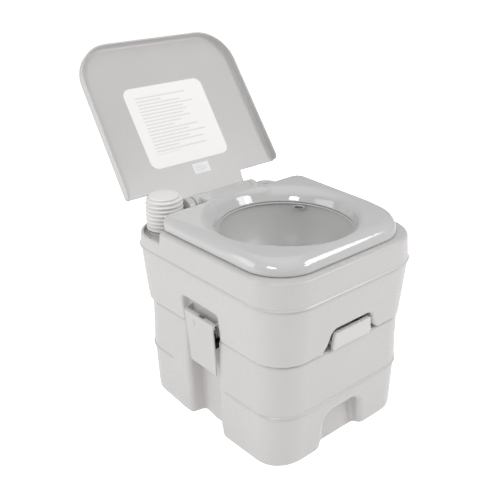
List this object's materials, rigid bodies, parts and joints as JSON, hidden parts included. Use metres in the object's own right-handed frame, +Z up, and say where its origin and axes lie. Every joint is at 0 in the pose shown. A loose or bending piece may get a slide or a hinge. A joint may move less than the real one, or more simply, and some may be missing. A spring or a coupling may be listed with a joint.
{
  "type": "portable camp toilet",
  "caption": "Portable flush toilet: stacked fresh-water and waste tanks held by side latches, oval bowl under a lift-up seat and lid, bellows flush pump, filler cap and pull-out slide valve.",
  "frame": {"origin": "centre of the waste tank's footprint on the floor", "axes": "+Z up, -Y out of the front where the pull handle is, +X to the right seen from the front"},
  "size_m": [0.358, 0.5662, 0.6217],
  "materials": {
    "tank_plastic": "satin moulded plastic",
    "seat_plastic": "glossy moulded plastic",
    "bellows_plastic": "soft moulded plastic",
    "white_plastic": "semi-gloss plastic",
    "label_film": "printed film",
    "rubber": "matt",
    "steel": "plated"
  },
  "bodies": {
    "waste": {"waste_tank": "tank_plastic", "valve_base": "tank_plastic", "blade_seal": "rubber", "valve_cover": "tank_plastic", "bowl_gasket": "rubber", "valve_screws": "steel", "spout_neck": "tank_plastic", "latch_catch_left": "tank_plastic", "latch_catch_right": "tank_plastic"},
    "fresh": {"fresh_tank": "tank_plastic", "bowl": "seat_plastic", "flush_nozzle": "seat_plastic", "flush_tube": "white_plastic", "hinge_bracket": "tank_plastic", "hinge_screws": "steel", "hinge_rod": "steel", "pump_base": "tank_plastic", "pump_bellows": "bellows_plastic", "suction_tube": "white_plastic", "filler_neck": "tank_plastic", "latch_lugs_left": "tank_plastic", "latch_lugs_right": "tank_plastic"},
    "valve": {"valve_blade": "tank_plastic", "valve_handle": "white_plastic", "handle_screws": "steel"},
    "spout_cap": {"spout_cap": "tank_plastic", "spout_gasket": "rubber"},
    "filler_cap": {"filler_cap": "tank_plastic", "filler_gasket": "rubber"},
    "pump_top": {"pump_cap": "bellows_plastic"},
    "seat": {"seat": "seat_plastic", "seat_bumpers": "rubber"},
    "lid": {"lid": "tank_plastic", "lid_lip": "tank_plastic", "lid_label": "label_film", "lid_sticker": "label_film"},
    "latch_left": {"latch_flap_left": "white_plastic", "latch_pin_left": "steel"},
    "latch_right": {"latch_flap_right": "white_plastic", "latch_pin_right": "steel"}
  },
  "joints": [
    {"name": "tank_lift", "type": "slide", "parent": "waste", "child": "fresh", "axis": [0, 0, 1], "range_m": [0, 0.3]},
    {"name": "lid_hinge", "type": "hinge", "parent": "fresh", "child": "lid", "pos_m": [0, 0.149, 0.3535], "axis": [-1, 0, 0], "range_deg": [-125.5, 0]},
    {"name": "seat_hinge", "type": "hinge", "parent": "fresh", "child": "seat", "pos_m": [0, 0.149, 0.3535], "axis": [-1, 0, 0], "range_deg": [0, 94]},
    {"name": "pump_press", "type": "slide", "parent": "fresh", "child": "pump_top", "axis": [0, 0, -1], "range_m": [0, 0.032], "stiffness_N_per_m": 350, "deforming": ["pump_bellows"]},
    {"name": "filler_cap_turn", "type": "hinge", "parent": "fresh", "child": "filler_cap", "pos_m": [0.1205, 0.157, 0.34], "axis": [0, 0, 1], "continuous": true},
    {"name": "latch_left_swing", "type": "hinge", "parent": "fresh", "child": "latch_left", "pos_m": [-0.168, -0.0045, 0.226], "axis": [0, 1, 0], "range_deg": [-4, 120]},
    {"name": "latch_right_swing", "type": "hinge", "parent": "fresh", "child": "latch_right", "pos_m": [0.168, -0.0045, 0.226], "axis": [0, -1, 0], "range_deg": [-4, 120]},
    {"name": "valve_slide", "type": "slide", "parent": "waste", "child": "valve", "axis": [0, -1, 0], "range_m": [0, 0.112]},
    {"name": "spout_cap_turn", "type": "hinge", "parent": "waste", "child": "spout_cap", "pos_m": [0.08, 0.17, 0.146], "axis": [0, 1, 0], "continuous": true}
  ]
}
